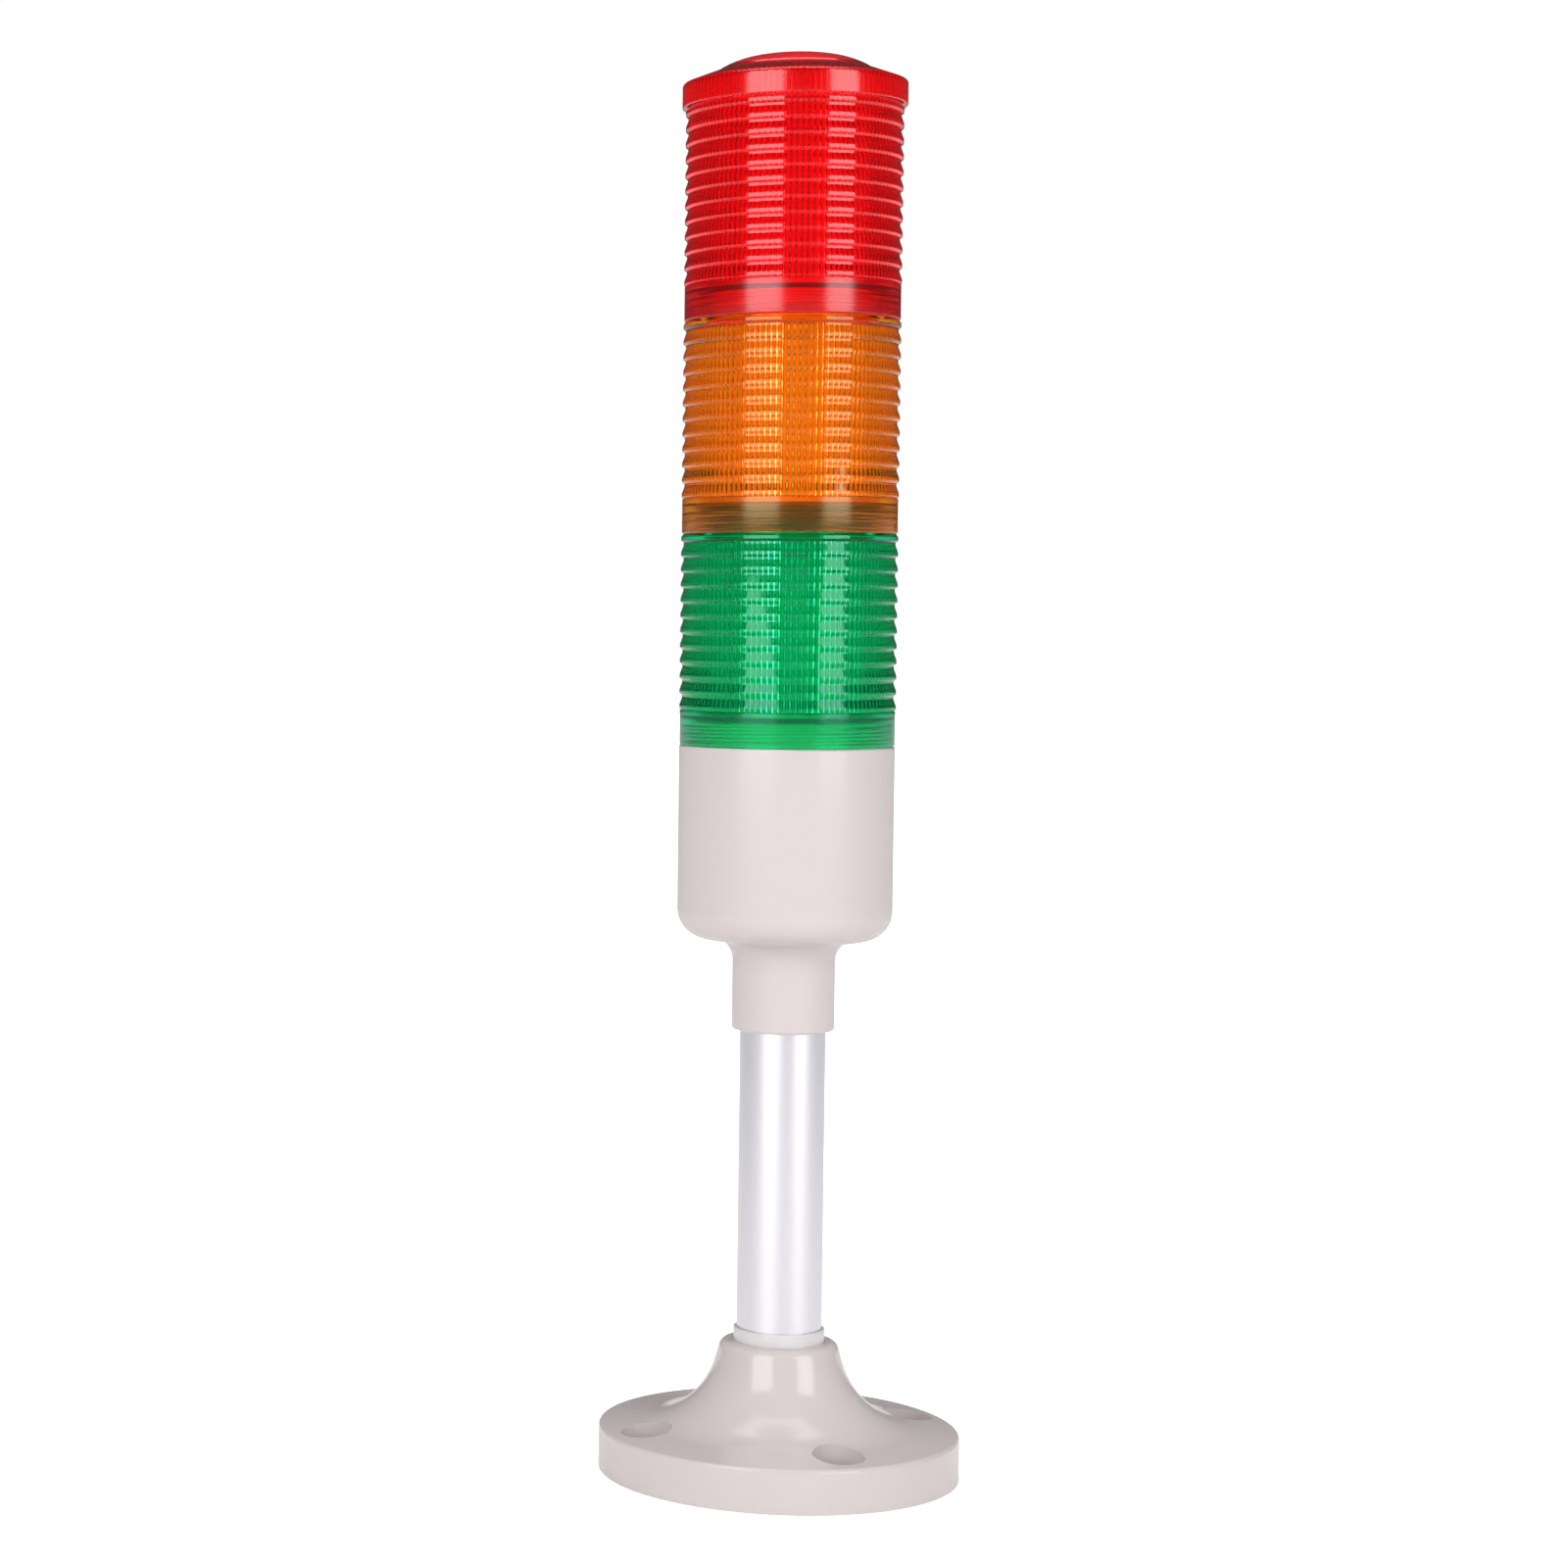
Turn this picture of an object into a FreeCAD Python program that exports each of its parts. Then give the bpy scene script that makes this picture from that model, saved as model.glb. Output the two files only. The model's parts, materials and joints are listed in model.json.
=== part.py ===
import FreeCAD, Part
import math
import os

os.makedirs("parts", exist_ok=True)

# Driving dimensions of the tower, in millimetres and degrees. Z = 0 is the foot's underside.

# Whole tower, from the foot up
lens_size = 50.0
pole_share = 0.4
socket_top = 31.3
pole_visible_length = 74.2
neck_length = 21.5
body_height = 45.7
tier_pitch = 49.7
tier_names = ["green", "amber", "red"]

# Foot: a glossy flared moulding with a socket for the pole
foot_diameter = 84.6
foot_rim_height = 10.3
foot_rim_edge_radius = 0.8
foot_top_slope = 7.0
foot_wall = 2.6
foot_flare_share = 0.75
socket_wall_at_top = 3.65
socket_side_angle = 75.5
socket_lip_radius = 2.2
socket_core_depth = 14.3
foot_hub_bottom = 9.0
foot_hub_wall = 2.8
foot_rib_count = 8
foot_rib_thickness = 1.8
foot_rib_lift = 0.8
foot_rib_root = 0.5
wrench_room = 3.0

# Four counterbored screw seats in the foot
mount_hole_count = 4
mount_edge_distance = 8.8
mount_first_angle = -65.5
mount_hole_diameter = 5.2
mount_recess_diameter = 12.0
mount_recess_floor = 4.0
mount_boss_wall = 2.2

# Pole and what clamps it
pole_wall = 1.2
pole_bottom = 2.5
pole_end_reach = 2.6
pole_clearance = 0.1
pole_seal_lip = 0.7
pole_seal_visible_height = 3.2
pole_seal_seat_depth = 2.2
pole_seal_clearance = 0.1
pole_seal_edge_radius = 0.4
clamp_nut_lip = 3.0
clamp_nut_height = 4.0
clamp_washer_lip = 2.5
clamp_washer_thickness = 0.8

# Body housing with its neck
neck_lip = 2.0
neck_edge_radius = 0.8
neck_fillet_radius = 5.0
body_corner_radius = 7.0
body_wall = 2.6
body_top_edge_radius = 0.4
body_roof_thickness = 2.4

# Screw joint between any two stacked pieces
collar_set_back = 2.8
collar_wall = 2.2
collar_height = 6.0
collar_edge_chamfer = 0.5
thread_clearance = 0.5
skirt_edge_chamfer = 0.4
seat_gap = 0.1
seal_thickness = 1.0
seal_face_gap = 0.05
seal_side_gap = 0.25

# Lens mouldings
band_step = 0.1
band_height = 7.8
band_notch_depth = 0.25
band_notch_width = 0.5
rib_count = 12
rib_height = 0.7
rib_crest_rise = 0.15
rib_crest_width = 1.3
rib_lower_flank = 0.4
rib_upper_flank = 0.85
rib_end_gap = 0.9
lens_wall = 2.35
flute_count = 114
flute_depth = 0.35
stop_ring_reach = 1.4
stop_ring_height = 0.9
lens_shelf_thickness = 1.4

# Closed top of the red lens
rim_overhang = 1.0
rim_height = 5.5
rim_edge_radius = 0.8
cap_shoulder_rise = 3.1
dome_set_in = 8.7
dome_step = 0.4
dome_flatness = 1.0
cap_wall = 2.2

# Board, mast and light sources inside
board_drop = 14.3
board_thickness = 1.6
board_side_clearance = 0.4
board_lead_hole_diameter = 7.0
board_post_wall = 1.5
board_post_clearance = 0.3
board_post_count = 3
board_post_first_angle = 90.0
board_screw_diameter = 2.5
board_screw_length = 12.0
board_screw_end_room = 1.0
board_screw_head_diameter = 4.8
board_screw_head_height = 1.8
board_screw_slot_width = 0.7
board_screw_clearance = 0.05
board_hole_clearance = 0.2
terminal_size = (15.0, 7.0, 9.0)
terminal_centre = (0.0, -9.0)
terminal_mouth_size = (3.2, 5.0, 4.5)
terminal_mouth_drop = 2.5
capacitor_diameter = 8.0
capacitor_height = 12.0
capacitor_centre = (11.5, 2.0)
capacitor_edge_radius = 0.8
rectifier_size = (6.0, 9.0, 3.2)
rectifier_centre = (-11.0, 3.0)
driver_size = (3.6, 3.0, 1.6)
driver_spacing = 4.6
driver_row_y = 6.5
mast_width = 13.0
mast_bore_diameter = 8.0
mast_top_drop = 5.8
mast_flange_set_back = 0.6
mast_flange_thickness = 2.0
strip_width = 7.2
strip_thickness = 1.0
strip_first_angle = -90.0
strip_count = 3
strip_socket_height = 4.0
strip_socket_width = 9.0
strip_socket_depth = 3.0
led_size = (3.5, 2.8, 1.0)
leds_per_strip = 4
led_first_height = 15.0
led_end_gap = 10.7
baffle_side_clearance = 1.2
baffle_thickness = 1.4
baffle_hub_diameter = 21.0
baffle_hub_height = 5.0
baffle_height_in_collar = 2.5
baffle_clearance = 0.05
mast_cap_diameter = 20.0
mast_cap_thickness = 1.6
mast_plug_length = 4.0

# Heights worked out from the driving dimensions
neck_bottom = socket_top + pole_visible_length
body_bottom = neck_bottom + neck_length
body_floor = body_bottom + body_wall
body_top = body_bottom + body_height
tier_base = [body_top + tier_pitch * level for level in range(len(tier_names))]
rim_bottom = tier_base[-1] + tier_pitch
rim_top = rim_bottom + rim_height
seal_bottom = collar_height + seal_face_gap
stop_ring_bottom = seal_bottom + seal_thickness + seal_face_gap
flute_bottom = stop_ring_bottom + stop_ring_height
foot_nut_bottom = foot_hub_bottom - clamp_washer_thickness - clamp_nut_height
neck_nut_top = body_floor + clamp_washer_thickness + clamp_nut_height
pole_top = neck_nut_top + pole_end_reach
board_height = body_top - board_drop
board_top = board_height + board_thickness
mast_foot_top = board_top + mast_flange_thickness
strip_bottom = mast_foot_top + strip_socket_height
mast_top = rim_bottom - mast_top_drop
first_crest = band_height + rib_lower_flank / 2
rib_pitch = (tier_pitch - rib_end_gap - rib_crest_width - first_crest) / (rib_count - 1)
led_spacing = (tier_pitch - led_first_height - led_end_gap) / (leds_per_strip - 1)

# Radii worked out from the driving dimensions
pole_radius = lens_size * pole_share / 2
pole_bore_radius = pole_radius + pole_clearance
pole_seal_radius = pole_radius + pole_seal_lip
nut_radius = pole_radius + clamp_nut_lip
nut_corner_radius = nut_radius / math.cos(math.radians(30))
neck_radius = pole_radius + neck_lip
socket_top_radius = pole_radius + socket_wall_at_top
foot_radius = foot_diameter / 2
mount_circle_radius = foot_radius - mount_edge_distance
band_radius = lens_size / 2
body_radius = band_radius + band_step
crest_radius = band_radius + rib_crest_rise
trough_radius = crest_radius - rib_height
collar_radius = band_radius - collar_set_back
collar_inner_radius = collar_radius - collar_wall
skirt_radius = collar_radius + thread_clearance
stop_ring_radius = skirt_radius - stop_ring_reach
flute_valley_radius = band_radius - lens_wall
flute_ridge_radius = flute_valley_radius - flute_depth
rim_radius = band_radius + rim_overhang
dome_edge_radius = rim_radius - dome_set_in
dome_radius = lens_size * dome_flatness
board_radius = collar_inner_radius - board_side_clearance
board_post_radius = board_screw_diameter / 2 + board_post_wall
board_post_circle_radius = nut_radius + board_post_clearance + board_post_radius


def vec(x, y, z):
    return FreeCAD.Vector(x, y, z)


def turn(shape, angle):
    """A copy of the shape, turned about the tower's axis."""
    copy = shape.copy()
    copy.rotate(vec(0, 0, 0), vec(0, 0, 1), angle)
    return copy


def around(shape, count, first_angle):
    """Copies of the shape at equal angles about the tower's axis."""
    return [turn(shape, first_angle + 360.0 * index / count) for index in range(count)]


def disc(radius, bottom, top, x=0.0, y=0.0):
    return Part.makeCylinder(radius, top - bottom, vec(x, y, bottom))


def ring(outer_radius, inner_radius, bottom, top):
    return disc(outer_radius, bottom, top).cut(disc(inner_radius, bottom, top))


def block(width, depth, bottom, top, x=0.0, y=0.0):
    """A box centred on x and y."""
    return Part.makeBox(width, depth, top - bottom, vec(x - width / 2, y - depth / 2, bottom))


def hexagon(width_across_flats, bottom, top):
    """A hexagonal prism with a flat facing -Y."""
    corner_radius = width_across_flats / 2 / math.cos(math.radians(30))
    corners = [vec(corner_radius * math.cos(math.radians(60 * index)),
                   corner_radius * math.sin(math.radians(60 * index)), bottom) for index in range(7)]
    return Part.Face(Part.makePolygon(corners)).extrude(vec(0, 0, top - bottom))


def rounded_wire(corners):
    """A closed wire in the XZ plane. Each corner is (radius, height) or (radius, height, rounding)."""
    points = [vec(corner[0], 0, corner[1]) for corner in corners]
    roundings = [corner[2] if len(corner) > 2 else 0.0 for corner in corners]
    stretches = []
    for index, corner in enumerate(points):
        if roundings[index] == 0:
            stretches.append((corner, corner, corner))
            continue
        to_last = (points[index - 1] - corner).normalize()
        to_next = (points[(index + 1) % len(points)] - corner).normalize()
        half_angle = to_last.getAngle(to_next) / 2
        tangent = roundings[index] / math.tan(half_angle)
        bisector = (to_last + to_next).normalize()
        middle = corner + bisector * (roundings[index] / math.sin(half_angle) - roundings[index])
        stretches.append((corner + to_last * tangent, middle, corner + to_next * tangent))
    edges = []
    for index, (start, middle, end) in enumerate(stretches):
        if start != end:
            edges.append(Part.Arc(start, middle, end).toShape())
        following = stretches[(index + 1) % len(stretches)][0]
        edges.append(Part.LineSegment(end, following).toShape())
    return Part.Wire(edges)


def turned(corners):
    """A solid of revolution about the tower's axis."""
    return Part.Face(rounded_wire(corners)).revolve(vec(0, 0, 0), vec(0, 0, 1), 360)


# Foot

def foot_surface(inset):
    """The foot's outer form, or the same form moved inwards by a wall."""
    side_slope = 1 / math.tan(math.radians(socket_side_angle))
    top_slope = math.tan(math.radians(foot_top_slope))
    side_inset = inset / math.sin(math.radians(socket_side_angle))
    top_inset = inset / math.cos(math.radians(foot_top_slope))

    def corner(side_radius, top_at_rim):
        """Where the socket's side, as if it had no flare, would meet the foot's top."""
        rise = top_at_rim + (foot_radius - side_radius) * top_slope - socket_top * side_slope * top_slope
        height = rise / (1 - side_slope * top_slope)
        return side_radius + (socket_top - height) * side_slope, height

    outer_corner = corner(socket_top_radius, foot_rim_height)[1]
    side_length = (socket_top - outer_corner) / math.sin(math.radians(socket_side_angle))
    half_turn = math.radians(socket_side_angle - foot_top_slope) / 2
    flare_radius = foot_flare_share * side_length / math.tan(half_turn)
    side_radius = socket_top_radius - side_inset
    corner_radius, corner_height = corner(side_radius, foot_rim_height - top_inset)
    rim_radius = foot_radius - inset
    rim_height = foot_rim_height - top_inset + inset * top_slope
    rim_edge = max(foot_rim_edge_radius - inset, 0)
    lip = max(socket_lip_radius - inset, 0)
    return turned([(0, 0), (rim_radius, 0), (rim_radius, rim_height, rim_edge),
                   (corner_radius, corner_height, flare_radius + inset),
                   (side_radius, socket_top, lip), (0, socket_top)])


def foot_flange():
    hub_radius = pole_bore_radius + foot_hub_wall
    socket_core_top = socket_top - socket_core_depth
    room = ring(foot_radius - foot_wall, hub_radius, 0, socket_core_top)
    shell = foot_surface(0).cut(foot_surface(foot_wall).common(room))
    shell = shell.cut(disc(hub_radius, 0, foot_hub_bottom))
    middle_of_wall = foot_surface(foot_wall / 2)
    rib = Part.makeBox(foot_radius - hub_radius, foot_rib_thickness, socket_core_top,
                       vec(hub_radius - foot_rib_root, -foot_rib_thickness / 2, foot_rib_lift))
    boss = disc(mount_recess_diameter / 2 + mount_boss_wall, 0, socket_core_top, mount_circle_radius)
    stiffeners = (around(rib, foot_rib_count, mount_first_angle)
                  + around(boss, mount_hole_count, mount_first_angle))
    foot = shell.multiFuse([piece.common(middle_of_wall) for piece in stiffeners])
    seat = disc(mount_recess_diameter / 2, mount_recess_floor, socket_top, mount_circle_radius)
    hole = disc(mount_hole_diameter / 2, 0, socket_top, mount_circle_radius)
    screw_seats = around(seat.fuse(hole), mount_hole_count, mount_first_angle)
    pole_bore = disc(pole_bore_radius, 0, socket_top)
    seal_seat = disc(pole_seal_radius + pole_seal_clearance, socket_top - pole_seal_seat_depth, socket_top)
    nut_room = disc(nut_corner_radius + wrench_room, 0, foot_hub_bottom)
    return foot.cut(screw_seats + [pole_bore, seal_seat, nut_room]).removeSplitter()


# Pole with its seal, washers and nuts

def pole_tube():
    return ring(pole_radius, pole_radius - pole_wall, pole_bottom, pole_top)


def pole_seal():
    bottom = socket_top - pole_seal_seat_depth
    top = socket_top + pole_seal_visible_height
    inner = pole_radius + pole_clearance / 2
    return turned([(inner, bottom), (pole_seal_radius, bottom),
                   (pole_seal_radius, top, pole_seal_edge_radius), (inner, top)])


def clamp_washer(bottom):
    return ring(pole_radius + clamp_washer_lip, pole_bore_radius, bottom, bottom + clamp_washer_thickness)


def clamp_nut(bottom):
    """A thin hexagonal nut whose corners are turned down on both faces."""
    top = bottom + clamp_nut_height
    bevel = (nut_corner_radius - nut_radius) / 2
    envelope = turned([(0, bottom), (nut_radius, bottom), (nut_corner_radius, bottom + bevel),
                       (nut_corner_radius, top - bevel), (nut_radius, top), (0, top)])
    return hexagon(2 * nut_radius, bottom, top).common(envelope).cut(disc(pole_bore_radius, bottom, top))


# Body housing

def board_post_centres():
    angles = [math.radians(board_post_first_angle + 360.0 * index / board_post_count)
              for index in range(board_post_count)]
    return [(board_post_circle_radius * math.cos(angle), board_post_circle_radius * math.sin(angle))
            for angle in angles]


def body_housing():
    cavity_radius = body_radius - body_wall
    collar_top = body_top + collar_height
    roof = body_top - body_roof_thickness
    shell = turned([(pole_bore_radius, neck_bottom), (neck_radius, neck_bottom, neck_edge_radius),
                    (neck_radius, body_bottom, neck_fillet_radius),
                    (body_radius, body_bottom, body_corner_radius),
                    (body_radius, body_top, body_top_edge_radius), (collar_radius, body_top),
                    (collar_radius, collar_top - collar_edge_chamfer),
                    (collar_radius - collar_edge_chamfer, collar_top),
                    (collar_inner_radius, collar_top), (collar_inner_radius, roof),
                    (cavity_radius, roof - (cavity_radius - collar_inner_radius)),
                    (cavity_radius, body_floor, body_corner_radius - body_wall),
                    (pole_bore_radius, body_floor)])
    post_bottom = body_floor - body_wall / 2
    posts = [disc(board_post_radius, post_bottom, board_height, x, y) for x, y in board_post_centres()]
    pilot_radius = board_screw_diameter / 2 + board_screw_clearance
    pilot_bottom = mast_foot_top - board_screw_length - board_screw_end_room
    pilots = [disc(pilot_radius, pilot_bottom, board_height, x, y) for x, y in board_post_centres()]
    return shell.multiFuse(posts).cut(pilots).removeSplitter()


# Lens mouldings

def outer_ribs(base):
    """Profile corners of the notch above the smooth band and of the rounds of ribs, from the bottom up."""
    first_bottom = base + first_crest
    notch_bottom = base + band_height - band_notch_width
    corners = [(band_radius, notch_bottom), (band_radius - band_notch_depth, first_bottom - rib_lower_flank)]
    for index in range(rib_count):
        crest_bottom = first_bottom + index * rib_pitch
        crest_top = crest_bottom + rib_crest_width
        corners += [(crest_radius, crest_bottom), (crest_radius, crest_top)]
        if index < rib_count - 1:
            corners += [(trough_radius, crest_top + rib_upper_flank),
                        (trough_radius, crest_bottom + rib_pitch - rib_lower_flank)]
    return corners


def fluted_core(bottom, top):
    """The hollow of a lens: its wall is a round of half-round ridges that point inwards."""
    step = 2 * math.pi / flute_count
    edges = []
    for index in range(flute_count):
        start, middle, end = [(index + share) * step for share in (0.0, 0.5, 1.0)]
        edges.append(Part.Arc(
            vec(flute_valley_radius * math.cos(start), flute_valley_radius * math.sin(start), bottom),
            vec(flute_ridge_radius * math.cos(middle), flute_ridge_radius * math.sin(middle), bottom),
            vec(flute_valley_radius * math.cos(end), flute_valley_radius * math.sin(end), bottom)).toShape())
    return Part.Face(Part.Wire(edges)).extrude(vec(0, 0, top - bottom))


def skirt_profile(base):
    """Profile corners of the skirt's inside, from the stop ring down and round the bottom edge."""
    bottom = base + seat_gap
    return [(stop_ring_radius, base + flute_bottom), (stop_ring_radius, base + stop_ring_bottom),
            (skirt_radius, base + stop_ring_bottom), (skirt_radius, bottom + skirt_edge_chamfer),
            (skirt_radius + skirt_edge_chamfer, bottom), (band_radius, bottom, skirt_edge_chamfer)]


def open_lens(base):
    """A lens with the next tier's threaded collar on top."""
    shelf = base + tier_pitch
    collar_top = shelf + collar_height
    profile = skirt_profile(base) + outer_ribs(base)
    profile += [(band_radius, shelf - rib_end_gap + rib_crest_rise), (band_radius, shelf),
                (collar_radius, shelf), (collar_radius, collar_top - collar_edge_chamfer),
                (collar_radius - collar_edge_chamfer, collar_top), (collar_inner_radius, collar_top),
                (collar_inner_radius, base + flute_bottom)]
    return turned(profile).cut(fluted_core(base + flute_bottom, shelf - lens_shelf_thickness))


def dome_section(base_height, radius, top, sphere_radius):
    """A spherical cap over a disc, turned from its own half section."""
    edge_height = top - sphere_radius + math.sqrt(sphere_radius ** 2 - radius ** 2)
    middle_radius = radius / 2
    middle_height = top - sphere_radius + math.sqrt(sphere_radius ** 2 - middle_radius ** 2)
    crown = Part.Arc(vec(radius, 0, edge_height), vec(middle_radius, 0, middle_height), vec(0, 0, top))
    sides = Part.makePolygon([vec(0, 0, top), vec(0, 0, base_height),
                              vec(radius, 0, base_height), vec(radius, 0, edge_height)])
    wire = Part.Wire([crown.toShape()] + sides.Edges)
    return Part.Face(wire).revolve(vec(0, 0, 0), vec(0, 0, 1), 360)


def closed_lens(base):
    """The top lens: the same ribs and skirt under a wider rim and a domed top, all in one moulding."""
    shoulder_top = rim_top + cap_shoulder_rise
    dome_rise = dome_radius - math.sqrt(dome_radius ** 2 - dome_edge_radius ** 2)
    apex = shoulder_top + dome_step + dome_rise
    profile = skirt_profile(base) + outer_ribs(base)
    profile += [(trough_radius, rim_bottom), (rim_radius, rim_bottom, rim_edge_radius / 2),
                (rim_radius, rim_top, rim_edge_radius), (dome_edge_radius, shoulder_top),
                (0, shoulder_top), (0, base + flute_bottom)]
    dome = dome_section(shoulder_top - cap_wall / 2, dome_edge_radius, apex, dome_radius)
    flute_top = rim_top - cap_wall
    hollow_edge = dome_edge_radius - cap_wall
    crown_hollow = turned([(0, flute_top - cap_wall), (flute_ridge_radius, flute_top - cap_wall),
                           (flute_ridge_radius, flute_top), (hollow_edge, shoulder_top - cap_wall),
                           (0, shoulder_top - cap_wall)])
    dome_hollow = dome_section(flute_top, hollow_edge, apex - cap_wall, dome_radius - cap_wall)
    throat = disc(stop_ring_radius, base + stop_ring_bottom, base + flute_bottom)
    flutes = fluted_core(base + flute_bottom, flute_top)
    return turned(profile).fuse(dome).cut([flutes, throat, crown_hollow, dome_hollow])


def lens_seal(base):
    outer = skirt_radius - seal_side_gap
    inner = collar_inner_radius + seal_side_gap
    bottom = base + seal_bottom
    return ring(outer, inner, bottom, bottom + seal_thickness)


# Board in the body and what is soldered on it

def control_board():
    board = disc(board_radius, board_height, board_top)
    hole_radius = board_screw_diameter / 2 + board_hole_clearance
    holes = [disc(hole_radius, board_height, board_top, x, y) for x, y in board_post_centres()]
    return board.cut(holes + [disc(board_lead_hole_diameter / 2, board_height, board_top)])


def terminal_block():
    """A three-pole block that hangs under the board, with a wire mouth in its front for each lead."""
    width, depth, height = terminal_size
    x, y = terminal_centre
    mouth_width, mouth_depth, mouth_height = terminal_mouth_size
    body = block(width, depth, board_height - height, board_height, x, y)
    mouth_pitch = width / len(tier_names)
    mouth_top = board_height - terminal_mouth_drop
    mouths = [block(mouth_width, mouth_depth, mouth_top - mouth_height, mouth_top,
                    x + (index - 1) * mouth_pitch, y - depth / 2) for index in range(len(tier_names))]
    return body.cut(mouths)


def filter_capacitor():
    x, y = capacitor_centre
    can = turned([(0, 0), (capacitor_diameter / 2, 0),
                  (capacitor_diameter / 2, capacitor_height, capacitor_edge_radius), (0, capacitor_height)])
    can.rotate(vec(0, 0, 0), vec(1, 0, 0), 180)
    can.translate(vec(x, y, board_height))
    return can


def bridge_rectifier():
    width, depth, height = rectifier_size
    x, y = rectifier_centre
    return block(width, depth, board_height - height, board_height, x, y)


def driver_chips():
    width, depth, height = driver_size
    middle = (len(tier_names) - 1) / 2
    return Part.makeCompound([block(width, depth, board_height - height, board_height,
                                    (index - middle) * driver_spacing, driver_row_y)
                              for index in range(len(tier_names))])


def board_screws():
    head_top = mast_foot_top + board_screw_head_height
    slot_bottom = mast_foot_top + board_screw_head_height / 2
    screws = []
    for x, y in board_post_centres():
        shank = disc(board_screw_diameter / 2, mast_foot_top - board_screw_length, mast_foot_top, x, y)
        head = disc(board_screw_head_diameter / 2, mast_foot_top, head_top, x, y)
        slot = block(board_screw_head_diameter, board_screw_slot_width, slot_bottom, head_top, x, y)
        screws.append(shank.fuse(head).cut(slot))
    return Part.makeCompound(screws)


# Mast with its light strips

def led_mast():
    post = hexagon(mast_width, board_top, mast_top)
    flange = disc(board_radius - mast_flange_set_back, board_top, mast_foot_top)
    hole_radius = board_screw_diameter / 2 + board_hole_clearance
    holes = [disc(hole_radius, board_top, mast_foot_top, x, y) for x, y in board_post_centres()]
    bore = disc(mast_bore_diameter / 2, board_top, mast_top)
    return post.fuse(flange).cut(holes + [bore])


def strip(angle):
    """A long circuit board against one flat of the mast."""
    board = Part.makeBox(strip_width, strip_thickness, mast_top - strip_bottom,
                         vec(-strip_width / 2, -mast_width / 2 - strip_thickness, strip_bottom))
    return turn(board, angle - strip_first_angle)


def strip_angles():
    return [strip_first_angle + 360.0 * index / strip_count for index in range(strip_count)]


def strip_sockets():
    socket = Part.makeBox(strip_socket_width, strip_socket_depth, strip_socket_height,
                          vec(-strip_socket_width / 2, -mast_width / 2 - strip_socket_depth, mast_foot_top))
    return Part.makeCompound([turn(socket, angle - strip_first_angle) for angle in strip_angles()])


def tier_leds(base):
    """The light sources of one tier, on all strips."""
    width, height, depth = led_size
    leds = []
    for angle in strip_angles():
        for index in range(leds_per_strip):
            centre = base + led_first_height + index * led_spacing
            led = Part.makeBox(width, depth, height, vec(
                -width / 2, -mast_width / 2 - strip_thickness - depth, centre - height / 2))
            leds.append(turn(led, angle - strip_first_angle))
    return Part.makeCompound(leds)


def baffle(base):
    """A white disc that keeps one colour's light out of the next tier."""
    bottom = base + baffle_height_in_collar
    top = bottom + baffle_thickness
    hub_bottom = top - baffle_hub_height
    plate = disc(collar_inner_radius - baffle_side_clearance, bottom, top)
    hub = disc(baffle_hub_diameter / 2, hub_bottom, top)
    post_hole = hexagon(mast_width + 2 * baffle_clearance, hub_bottom, top)
    notch_reach = mast_width / 2 + strip_thickness + baffle_clearance
    notch = Part.makeBox(strip_width + 2 * baffle_clearance, notch_reach, top - hub_bottom,
                         vec(-strip_width / 2 - baffle_clearance, -notch_reach, hub_bottom))
    notches = [turn(notch, angle - strip_first_angle) for angle in strip_angles()]
    return plate.fuse(hub).cut([post_hole] + notches)


def mast_cap():
    plug_radius = mast_bore_diameter / 2 - baffle_clearance
    plate = disc(mast_cap_diameter / 2, mast_top, mast_top + mast_cap_thickness)
    return plate.fuse(disc(plug_radius, mast_top - mast_plug_length, mast_top))


# Every piece under its node's name

pieces = {
    "foot_flange": foot_flange(),
    "pole_seal": pole_seal(),
    "pole_tube": pole_tube(),
    "foot_washer": clamp_washer(foot_hub_bottom - clamp_washer_thickness),
    "foot_nut": clamp_nut(foot_nut_bottom),
    "neck_washer": clamp_washer(body_floor),
    "neck_nut": clamp_nut(body_floor + clamp_washer_thickness),
    "body_housing": body_housing(),
    "control_board": control_board(),
    "terminal_block": terminal_block(),
    "filter_capacitor": filter_capacitor(),
    "bridge_rectifier": bridge_rectifier(),
    "driver_chips": driver_chips(),
    "board_screws": board_screws(),
    "led_mast": led_mast(),
    "strip_sockets": strip_sockets(),
    "mast_cap": mast_cap(),
}
for number, angle in enumerate(strip_angles(), start=1):
    pieces["led_strip_%d" % number] = strip(angle)
for name, base in zip(tier_names, tier_base):
    pieces[name + "_leds"] = tier_leds(base)
    pieces[name + "_seal"] = lens_seal(base)
    pieces[name + "_lens"] = closed_lens(base) if base == tier_base[-1] else open_lens(base)
for name, base in zip(tier_names[1:], tier_base[1:]):
    pieces[name + "_baffle"] = baffle(base)

for name, shape in pieces.items():
    if not shape.isValid():
        raise ValueError(name + " is not a valid solid")
    shape.exportStep("parts/%s.step" % name)
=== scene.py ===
import json
import math

import bmesh
import bpy
from mathutils import Matrix, Vector


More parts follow.
